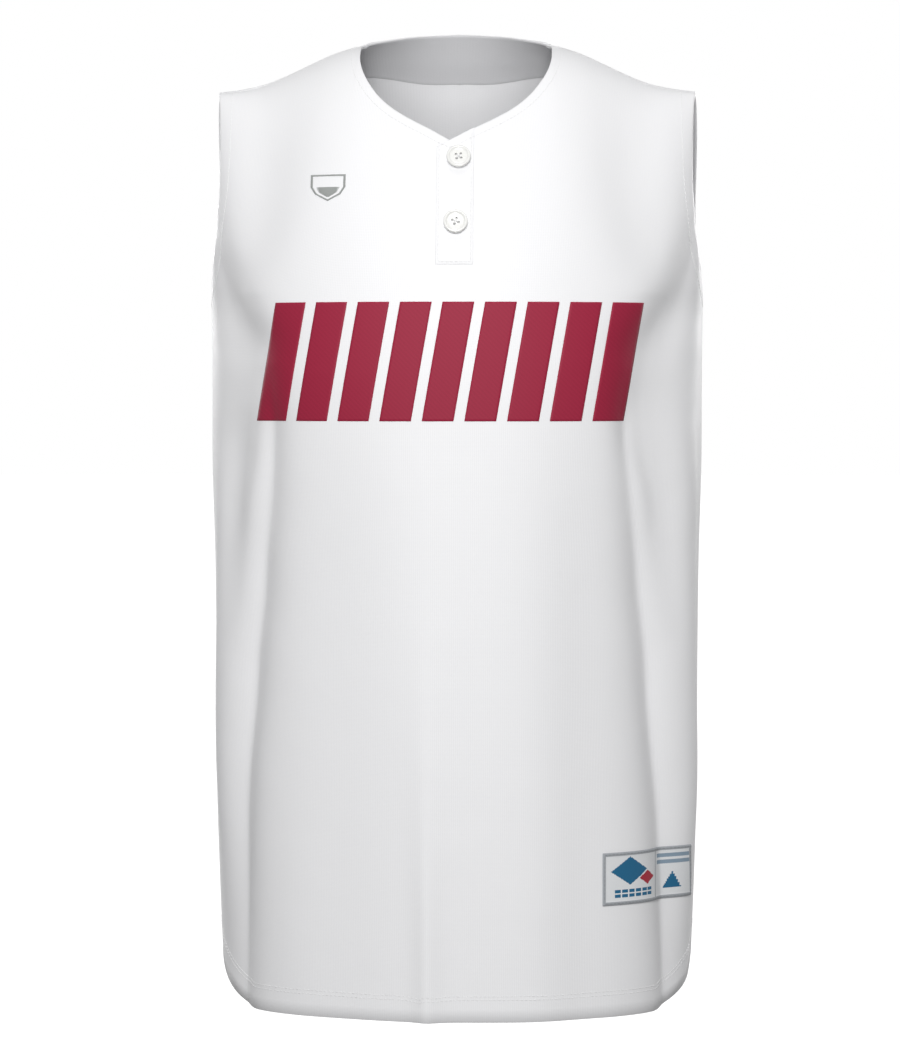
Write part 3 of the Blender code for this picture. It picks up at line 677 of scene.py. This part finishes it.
def resinMaterial():
    # Cast polyester resin, turned and polished: a clean gloss over a faintly cloudy white
    made, tree, surface = newMaterial("cast resin, polished", {
        "Roughness": buttons["roughness"], "IOR": 1.54, "Coat Weight": 0.35, "Coat Roughness": 0.08})
    place = addNode(tree, "TexCoord").outputs["Object"]
    cloud = addNode(tree, "TexNoise", {
        "Vector": place, "Scale": 1 / (buttons["cloudMm"] * millimetre), "Detail": 3.0, "Distortion": 1.2})
    lathe = addNode(tree, "TexNoise", {
        "Vector": place, "Scale": 1 / (buttons["latheMm"] * millimetre), "Detail": 1.0})
    colourAndRelief(tree, surface, linear(buttons["rim"]), linear(buttons["colour"]), cloud.outputs["Fac"], {
        "Height": lathe.outputs["Fac"], "Strength": 0.06, "Distance": 0.05 * millimetre})
    return made


# plies about half a millimetre apart, as on real thread
# hollow is how dark the thread is painted in the ply's low spots, a painted shade
threadLook = {"roughness": 0.7, "plyMm": 0.4545, "hollow": 0.86, "ridge": 0.3, "ridgeMm": 0.1}


def threadMaterial(name, hexColour):
    # Spun polyester sewing thread: matt, with the ply's slant as fine ridges
    made, tree, surface = newMaterial(name, {
        "Roughness": threadLook["roughness"], "Specular IOR Level": 0.25, "Sheen Weight": 0.15})
    place = addNode(tree, "TexCoord")
    ply = addNode(tree, "TexNoise", {
        "Vector": place.outputs["Object"], "Scale": 1 / (threadLook["plyMm"] * millimetre), "Detail": 1.0})
    ply = ply.outputs["Fac"]
    colour = linear(hexColour)
    # painted shade: the ply noise that raises the ridges also darkens the thread between them
    colourAndRelief(tree, surface, darker(colour, threadLook["hollow"]), colour, ply, {
        "Height": ply, "Strength": threadLook["ridge"], "Distance": threadLook["ridgeMm"] * millimetre})
    return made


resin = resinMaterial()
whiteThread = threadMaterial("spun polyester thread", "#F1F1F1")
greyThread = threadMaterial("spun polyester thread, grey", "#8F9194")
paleGreyThread = threadMaterial("spun polyester thread, pale grey", "#A7AAA8")


def threads(name, starts, ends, normals, radius, arch, material, sides=6):
    # many short bowed threads as one mesh, each from a start to an end, raised along its normal
    starts, ends, normals = (np.asarray(a, float) for a in (starts, ends, normals))
    # a thread's rings: how far along it, how thick and how high, the ends going down into the cloth
    stations = np.array([0.0, 0.16, 0.5, 0.84, 1.0])
    girth = np.array([0.35, 0.85, 1.0, 0.85, 0.35])
    height = np.array([-0.6, 0.55, 1.0, 0.55, -0.6])
    axis = ends - starts
    axis /= np.linalg.norm(axis, axis=1, keepdims=True)
    side = np.cross(axis, normals)
    side /= np.linalg.norm(side, axis=1, keepdims=True)
    side, top = side[:, None], np.cross(side, axis)[:, None]
    angle = (np.arange(sides) / sides * 2 * math.pi)[:, None]
    centre = starts[:, None] + (ends - starts)[:, None] * stations[:, None] + top * (height * arch)[:, None]
    spoke = side * np.cos(angle) + top * np.sin(angle)
    points = centre[:, :, None] + spoke[:, None] * (girth * radius)[:, None, None]
    last = (len(stations) - 1) * sides
    ring, spot = np.meshgrid(np.arange(0, last, sides), np.arange(sides), indexing="ij")
    a, b = ring + spot, ring + (spot + 1) % sides
    walls = np.stack([a, b, b + sides, a + sides], axis=-1).reshape(-1, 4)
    caps = np.array([range(sides)[::-1], range(last, last + sides)])
    step = np.arange(len(starts))[:, None, None] * (last + sides)
    faces = [*(walls + step).reshape(-1, 4), *(caps + step).reshape(-1, sides)]
    return newPiece(name, points.reshape(-1, 3), faces, [material])


def buildButton(name, across, height):
    centre, normal = clothPoints("front", *spotsAt(across, height), cloth["wall"] / 2 + buttons["lift"])
    turned = bmesh.new()
    profile = np.array(buttons["profile"]) * (buttons["radius"], buttons["height"])
    profile = [turned.verts.new((r, 0.0, z)) for r, z in profile]
    edges = [turned.edges.new(pair) for pair in zip(profile, profile[1:])]
    bmesh.ops.spin(turned, geom=profile + edges, cent=(0, 0, 0), axis=(0, 0, 1), angle=2 * math.pi,
                   steps=buttons["steps"], use_merge=True)
    bmesh.ops.remove_doubles(turned, verts=turned.verts, dist=buttons["mergeWithin"])
    bmesh.ops.recalc_face_normals(turned, faces=turned.faces)
    holes = bmesh.new()
    spread = buttons["holePitch"] / 2
    for x, y in ((-1, -1), (1, -1), (1, 1), (-1, 1)):
        bmesh.ops.create_cone(
            holes, cap_ends=True, segments=buttons["holeSteps"], radius1=buttons["holeRadius"],
            radius2=buttons["holeRadius"], depth=3 * buttons["height"],
            matrix=Matrix.Translation((x * spread, y * spread, 0)))
    made = []
    for word, mesh in (("_resin", turned), ("_drill", holes)):
        data = bpy.data.meshes.new(name + word)
        mesh.to_mesh(data)
        mesh.free()
        made.append(addObject(name + word, data))
    piece, drill = made
    piece.data.materials.append(resin)
    drilling = piece.modifiers.new("holes", "BOOLEAN")
    drilling.operation = "DIFFERENCE"
    drilling.object = drill
    bpy.context.view_layer.update()
    drilled = bpy.data.meshes.new_from_object(piece.evaluated_get(bpy.context.evaluated_depsgraph_get()))
    piece.modifiers.clear()
    piece.data = drilled
    bpy.data.objects.remove(drill)
    stand = Vector((0, 0, 1)).rotation_difference(Vector(normal)).to_matrix().to_4x4()
    turn = Matrix.Rotation(math.radians(buttons["turn"][name]), 4, "Z")
    placed = Matrix.Translation(Vector(centre)) @ stand @ turn
    drilled.transform(placed)
    drilled.shade_smooth()
    drilled.set_sharp_from_angle(angle=math.radians(buttons["sharpAngle"]))
    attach(piece, "root")
    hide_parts(name)
    # the thread crosses between opposite holes
    deck = buttons["threadDeck"] * buttons["height"]
    starts, ends = [], []
    for x, y in ((1, 1), (-1, 1)):
        for apart in (-buttons["threadApart"], buttons["threadApart"]):
            aside = Vector((-y, x, 0)).normalized() * apart
            for way, tips in ((-spread, starts), (spread, ends)):
                tips.append(placed @ (Vector((way * x, way * y, deck)) + aside))
    threads(name + "_thread", starts, ends, [normal] * 4, buttons["threadRadius"], buttons["threadArch"],
            whiteThread, sides=8)


for buttonName, buttonPlace in buttons["places"].items():
    buildButton(buttonName, *buttonPlace)
print("jersey: buttons")

patch = {
    "left": 0.118, "right": 0.1845, "top": -0.6485, "low": -0.69,
    "gap": 0.0005, "thick": 0.0008, "bulge": 0.0002, "columns": 128, "rows": 80,
    "border": 0.0026, "divide": 0.56, "divideHalf": 0.0008,
    # the overlocked rim stands up over the plain weave, and the last of the edge is pressed down
    "plain": 0.62, "weltWidth": 0.55, "edge": 0.0007, "edgeThick": 0.55,
    "ribMm": 0.9, "warpMm": 1.2,  # real label yarns lie about 0.3 mm apart, drawn coarser so that they show
    # the yarns in the order of their numbers
    "yarns": (("border", "#A9ADB2"), ("ground", "#ECEEF0"), ("blue yarn", "#1F6A92"), ("red yarn", "#B22B3E"),
              ("slate yarn", "#8FA3B4")),
    # The drawing, as shares of its field. A box is from, to, low and high, with a plain line along its
    # middle, and a diamond is its centre and half sizes.
    "dashes": (0.12, 0.88, 0.08, 0.26), "dashPace": 7.9, "dashGap": 0.22, "dashLine": 0.02,
    "blueDiamond": (0.42, 0.66, 0.34, 0.31), "redDiamond": (0.77, 0.48, 0.17, 0.155),
    "bands": (0.08, 0.92, 0.7, 0.93), "bandLine": 0.025,
    "triangle": {"low": 0.16, "tip": 0.52, "centre": 0.49, "spread": 0.62},
}


def patchYarn(name, hexColour):
    # Damask-woven label: tight flat yarns, a little satin, with a fine crosswise rib
    made, tree, surface = newMaterial(name, {
        "Roughness": 0.55, "Specular IOR Level": 0.35, "Sheen Weight": 0.10})
    warp, rib = cutWaves(tree, (patch["warpMm"] * millimetre, patch["ribMm"] * millimetre))
    weave = addNode(tree, "Math", {0: rib, 1: warp}, operation="MULTIPLY")
    grade = addNode(tree, "MapRange", {"Value": weave.outputs[0], "From Min": -1.0})
    base = linear(hexColour)
    colourAndRelief(tree, surface, darker(base, 0.84), base, grade.outputs[0], {
        "Height": rib, "Strength": 0.25, "Distance": 0.2 * millimetre})
    return made


def inBox(x, y, box, line):
    fromX, toX, low, high = box
    return fromX < x < toX and low < y < high and abs(y - (low + high) / 2) > line


def inDiamond(x, y, diamond):
    acrossMiddle, upMiddle, halfWide, halfTall = diamond
    return abs((x - acrossMiddle) / halfWide) + abs((y - upMiddle) / halfTall) < 1


def patchColour(u, v, width, height):
    # the number of the yarn that shows at this place
    border, split = patch["border"], width * patch["divide"]
    if min(u, v, width - u, height - v) < border or abs(u - split) < patch["divideHalf"]:
        return 0
    y = (v - border) / (height - 2 * border)
    if u < split:
        x = (u - border) / (split - border)
        dash = (x - patch["dashes"][0]) * patch["dashPace"] % 1 > patch["dashGap"]
        if dash and inBox(x, y, patch["dashes"], patch["dashLine"]) or inDiamond(x, y, patch["blueDiamond"]):
            return 2
        return 3 if inDiamond(x, y, patch["redDiamond"]) else 1
    x = (u - split) / (width - border - split)
    if inBox(x, y, patch["bands"], patch["bandLine"]):
        return 4
    sign = patch["triangle"]
    inside = sign["low"] < y < sign["tip"] and abs(x - sign["centre"]) < sign["spread"] * (sign["tip"] - y)
    return 2 if inside else 1


def buildPatch():
    x = np.linspace(patch["left"], patch["right"], patch["columns"] + 1)
    z = np.linspace(patch["low"], patch["top"], patch["rows"] + 1)
    share, climb = drapedSpots(*np.meshgrid(x, z))
    inner, normal = clothPoints("front", share, climb, cloth["wall"] / 2 + patch["gap"])
    run = runLength(inner[patch["rows"] // 2])
    tall = float(np.linalg.norm(inner[-1, 0] - inner[0, 0]))
    u, v = np.meshgrid(run, np.linspace(0, tall, patch["rows"] + 1))
    rim = np.minimum(np.minimum(u, run[-1] - u), np.minimum(v, tall - v))
    welt = np.exp(-((rim - patch["border"] / 2) / (patch["weltWidth"] * patch["border"])) ** 2)
    thick = patch["thick"] * (patch["plain"] + (1 - patch["plain"]) * welt)
    thick = thick * (patch["edgeThick"] + (1 - patch["edgeThick"]) * ease(rim / patch["edge"]))
    outer = inner + normal * thick[..., None]
    yarns = [patchYarn("woven label, " + word, colour) for word, colour in patch["yarns"]]
    uv = np.stack([u, v], axis=-1)
    piece = shell("hem_patch_woven", outer, inner, uv, yarns, patch["bulge"], "patch_weave")
    faces = gridFaces(patch["rows"] + 1, patch["columns"] + 1, 0)
    middles = zip(u.ravel()[faces].mean(axis=1), v.ravel()[faces].mean(axis=1))
    index = np.zeros(len(piece.data.polygons), int)
    index[:len(faces)] = [patchColour(a, b, run[-1], tall) for a, b in middles]
    piece.data.polygons.foreach_set("material_index", index)
    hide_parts("hem_patch")


buildPatch()
print("jersey: hem patch")

chestBars = {
    "left": -0.148, "right": 0.142, "top": -0.2135, "low": -0.3065, "count": 9, "slant": 0.016, "gap": 0.0085,
    "thick": 0.00025, "lift": 0.00012, "bulge": 0.00008, "columns": 12, "rows": 44,
    "colour": "#9B1C3B",
    "ribMm": 2.777,  # real twill ribs are about 1 mm apart, drawn coarser so that they show
}


def twillMaterial():
    # Heat-pressed twill: flat crimson with a fine slanting rib, almost no gloss
    made, tree, surface = newMaterial("heat-pressed twill, crimson", {
        "Roughness": 0.62, "Specular IOR Level": 0.3, "Sheen Weight": 0.08})
    place = addNode(tree, "UVMap", uv_map="cut")
    # diagonal bands turn 10 radians a unit of x + y, which is a unit over the root of 2 across the ribs
    scale = 2 * math.pi / (10 * math.sqrt(2) * chestBars["ribMm"] * millimetre)
    rib = addNode(tree, "TexWave", {"Vector": place.outputs["UV"], "Scale": scale},
                  wave_type="BANDS", bands_direction="DIAGONAL").outputs["Fac"]
    base = linear(chestBars["colour"])
    # painted shade: the crimson darkens where the rib is low, the same bands that raise the rib
    colourAndRelief(tree, surface, darker(base, 0.9), base, rib, {
        "Height": rib, "Strength": 0.12, "Distance": 0.1 * millimetre})
    return made


def buildChestBars():
    bars, twill = chestBars, twillMaterial()
    pitch = (bars["right"] - bars["left"] + bars["gap"]) / bars["count"]
    part, down = np.meshgrid(np.linspace(0, 1, bars["columns"] + 1), np.linspace(0, 1, bars["rows"] + 1))
    for number in range(bars["count"]):
        left = bars["left"] + number * pitch
        x = left + (pitch - bars["gap"]) * part + bars["slant"] * (down - 0.5)
        z = bars["low"] + (bars["top"] - bars["low"]) * down
        inner, normal = clothPoints("front", *drapedSpots(x, z), cloth["wall"] / 2 + bars["lift"])
        outer = inner + normal * bars["thick"]
        shell(f"chest_bar_{number + 1}", outer, inner, np.stack([x, z], axis=-1), [twill], bars["bulge"])


buildChestBars()
print("jersey: chest bars")

stitching = {
    "length": 0.0026, "gap": 0.0009, "radius": 0.00021, "arch": 0.00012, "lift": 0.00006,
    "hemInsets": (0.0175, 0.0205), "armholeInset": 0.0105, "neckInset": 0.007, "placketInset": 0.0018,
    "patchInset": 0.0013, "aboveBand": 0.006,  # in climb
    "onLap": 0.58,  # how deep into the lap its own stitches lie, as a share of its thickness
    # where the rows end
    "sideShare": 0.995, "armShare": 0.998, "backNeckPart": 0.98, "armpitGap": 0.0005, "shoulderGap": 0.004,
    "samples": 500, "insetRounds": 4, "slopeStep": 0.001,
}


def insetPath(panel, share, climb, inset):
    # a path along an edge of a panel, moved in from that edge along the cloth
    parts, step = stitching["insetRounds"], stitching["slopeStep"]
    heart, _ = clothPoints(panel, 0.0, 1.0)
    for _ in range(parts):
        points, normal = clothPoints(panel, share, climb)
        along = np.gradient(points, axis=0)
        along /= np.linalg.norm(along, axis=1, keepdims=True)
        inward = np.cross(normal, along)
        inward *= np.sign(((heart - points) * inward).sum()) * inset / parts
        byShare = (clothPoints(panel, share + step, climb)[0] - points) / step
        byClimb = (clothPoints(panel, share, climb + step)[0] - points) / step
        rows = ((byShare, byShare), (byShare, byClimb), (byClimb, byShare), (byClimb, byClimb),
                (byShare, inward), (byClimb, inward))
        moveShare, moveClimb = solvePair(*[(a * b).sum(axis=1) for a, b in rows])
        share, climb = share + moveShare, climb + moveClimb
    return share, climb


def stitchRow(panel, share, climb, extra=0.0):
    # starts, ends and normals of the stitches along a path on the outside of a panel
    points, normal = clothPoints(panel, share, climb, cloth["wall"] / 2 + stitching["lift"] + extra)
    run, length, gap = runLength(points), stitching["length"], stitching["gap"]
    starts = np.arange(gap, run[-1] - length, length + gap)
    ends = starts + length
    return [np.stack([np.interp(at, run, values[:, axis]) for axis in range(3)], axis=1)
            for values, at in ((points, starts), (points, ends), (normal, (starts + ends) / 2))]


def cornerPath(corners):
    # x and z of points along straight runs between corners
    at = np.linspace(0, len(corners) - 1, stitching["samples"])
    return [np.interp(at, range(len(corners)), values) for values in zip(*corners)]


def buildSeams():
    # topstitching, two rows along the hem and one along each armhole, the neck, the placket and the patch
    lap, ends, samples = placketLap, stitching["sideShare"], stitching["samples"]
    hem, arms, neck = [], [], []
    for panel in ("front", "back"):
        for inset in stitching["hemInsets"]:
            edge = insetPath(panel, np.linspace(-ends, ends, samples), np.zeros(samples), inset)
            hem.append(stitchRow(panel, *edge))
        seam = cut["seamClimb"] if panel == "front" else 4 - cut["seamClimb"]
        first = cut["armpitClimb"] + stitching["armpitGap"]
        climb = np.linspace(first, seam - stitching["shoulderGap"], samples)
        for side in (-1, 1):
            edge = side * np.minimum(armholeShare(panel, climb), stitching["armShare"])
            share, rise = insetPath(panel, edge, climb, stitching["armholeInset"])
            keep = np.abs(share) < ends
            arms.append(stitchRow(panel, share[keep], rise[keep]))
    share, climb = topSpots("front")
    edge = np.abs(share) <= cut["neckShare"]
    share, climb = insetPath("front", share[edge], climb[edge], stitching["neckInset"])
    points, _ = clothPoints("front", share, climb)
    overLap = (points[:, 0] > lap["left"]) & (points[:, 0] < lap["right"])
    neck.append(stitchRow("front", share, climb, overLap * (lap["gap"] + lap["thick"])))
    edge = backNeckSpots(np.linspace(-1, 1, samples) * stitching["backNeckPart"])
    neck.append(stitchRow("back", *insetPath("back", *edge, stitching["neckInset"])))
    band = np.linspace(-cut["neckShare"], cut["neckShare"], samples)
    neck.append(stitchRow("back", band, facingLine(band) + stitching["aboveBand"]))
    inset = stitching["placketInset"]
    left, right, low = lap["left"] + inset, lap["right"] - inset, lap["footZ"] + inset
    leftTop, rightTop = necklineZ(np.array([left, right])) - inset
    path = spotsAt(*cornerPath([(left, leftTop), (left, low), (right, low), (right, rightTop)]))
    neck.append(stitchRow("front", *path, lap["gap"] + stitching["onLap"] * lap["thick"]))
    inset = stitching["patchInset"]
    left, right = patch["left"] + inset, patch["right"] - inset
    low, top = patch["low"] + inset, patch["top"] - inset
    path = drapedSpots(*cornerPath([(left, low), (right, low), (right, top), (left, top), (left, low)]))
    border = [stitchRow("front", *path, patch["gap"] + patch["thick"])]
    for name, rows, thread in (("hem_stitches", hem, whiteThread), ("armhole_stitches", arms, whiteThread),
                               ("neck_stitches", neck, whiteThread), ("patch_stitches", border, greyThread)):
        stitches = (np.concatenate(part) for part in zip(*rows))
        threads(name, *stitches, stitching["radius"], stitching["arch"], thread)


buildSeams()
print("jersey: stitching")

# The embroidered mark on the chest: a plain shield with its lower half filled
shield = {
    "across": -0.099, "height": -0.1221, "halfWide": 0.0158, "halfTall": 0.0114,
    # the outline, as shares of the half sizes
    "outline": ((0, 0.88), (-0.9, 0.88), (-0.9, 0), (-0.66, -0.52), (0, -1), (0.66, -0.52), (0.9, 0),
                (0.9, 0.88), (0, 0.88)),
    "band": 0.86,  # inner edge of the outline, as a share of its outer edge
    "fill": 0.74, "fillLow": -0.92, "fillTop": -0.02,
    "pitch": 0.00042, "radius": 0.00024, "arch": 0.0003,
}


def buildShield():
    # satin stitch: close threads laid side by side
    corners = np.array(shield["outline"]) * (shield["halfWide"], shield["halfTall"])
    run = runLength(corners)
    at = np.arange(0.0, run[-1], shield["pitch"])
    rim = np.stack([np.interp(at, run, corners[:, axis]) for axis in (0, 1)], axis=1)
    tall = shield["halfTall"]
    z = np.arange(shield["fillLow"] * tall, shield["fillTop"] * tall, shield["pitch"])
    side = corners[4:1:-1]
    reach = np.interp(z, side[:, 1], -side[:, 0])
    tips = []
    for rimPart, way in ((1, -1), (shield["band"], 1)):
        flat = np.concatenate([rim * rimPart, np.stack([way * reach, z], axis=1) * shield["fill"]])
        spots = drapedSpots(shield["across"] + flat[:, 0], shield["height"] + flat[:, 1])
        tips.append(clothPoints("front", *spots, cloth["wall"] / 2 + stitching["lift"]))
    (starts, normals), (ends, _) = tips
    threads("chest_shield", starts, ends, normals, shield["radius"], shield["arch"], paleGreyThread)


buildShield()
print("jersey: chest mark")

studio = {
    "distance": 3.0, "turn": 1.6, "height": -0.278, "lookAt": (-0.0057, 0.0, -0.393),
    "metresPerPixel": 0.00082, "imageWidth": 900, "sensorMm": 36.0, "farthest": 100.0,
    # softboxes: watts, side in metres, and where each stands
    "softboxes": {
        "key": (34.0, 0.8, (-0.05, -2.2, 0.75)),
        "low front": (11.0, 0.5, (0.0, -2.6, -0.42)),
        "overhead": (8.0, 0.8, (0.0, -0.35, 1.9)),
        "left rim": (27.0, 1.0, (-1.45, 1.80, 0.30)),
        "right rim": (27.0, 1.0, (1.45, 1.80, 0.30)),
    },
    "aim": (0.0, 0.0, -0.30),
    "world": 0.27, "floorZ": -1.35, "floorReach": 40.0, "floorColour": "#FBFBFB", "floorLight": 0.9,
}


def placeFacing(name, data, place, target):
    made = addObject(name, data)
    made.location = place
    made.rotation_euler = (Vector(target) - made.location).to_track_quat("-Z", "Y").to_euler()
    return made


def buildStudio():
    scene = bpy.context.scene
    turn, distance = math.radians(studio["turn"]), studio["distance"]
    lens = bpy.data.cameras.new("camera")
    stand = (distance * math.sin(turn), -distance * math.cos(turn), studio["height"])
    camera = placeFacing("camera", lens, stand, studio["lookAt"])
    lens.sensor_fit = "HORIZONTAL"
    lens.sensor_width = studio["sensorMm"]
    reach = (Vector(studio["lookAt"]) - camera.location).length
    lens.lens = studio["sensorMm"] * reach / (studio["imageWidth"] * studio["metresPerPixel"])
    lens.clip_end = studio["farthest"]
    scene.camera = camera
    for name, (watts, side, place) in studio["softboxes"].items():
        light = bpy.data.lights.new(name, "AREA")
        light.shape = "SQUARE"
        light.size = side
        light.energy = watts
        placeFacing(name, light, place, studio["aim"])
    world = bpy.data.worlds.new("studio")
    world.use_nodes = True
    tree = world.node_tree
    tree.nodes.clear()
    seen = addNode(tree, "Background", {"Color": white, "Strength": 1.0})
    lit = addNode(tree, "Background", {"Color": white, "Strength": studio["world"]})
    path = addNode(tree, "LightPath")
    both = addNode(tree, "MixShader", {
        "Fac": path.outputs["Is Camera Ray"], 1: lit.outputs[0], 2: seen.outputs[0]})
    addNode(tree, "OutputWorld", {"Surface": both.outputs[0]})
    scene.world = world
    scene.view_settings.view_transform = "Standard"
    # White studio floor, washed out by its own light, which doesn't fill the shadows in the cloth
    paint, _, _ = newMaterial("matt white paint", {
        "Base Color": linear(studio["floorColour"]), "Roughness": 0.9, "Specular IOR Level": 0.1,
        "Emission Color": white, "Emission Strength": studio["floorLight"]})
    ground = bpy.data.meshes.new("floor")
    corners = ((-1, -1), (1, -1), (1, 1), (-1, 1))
    size = studio["floorReach"]
    ground.from_pydata([(x * size, y * size, 0) for x, y in corners], [], [range(4)])
    ground.materials.append(paint)
    floor = addObject("floor", ground)
    floor.location = (0, 0, studio["floorZ"])
    floor.visible_diffuse = False
    floor.visible_glossy = False


buildStudio()
print("jersey: studio")
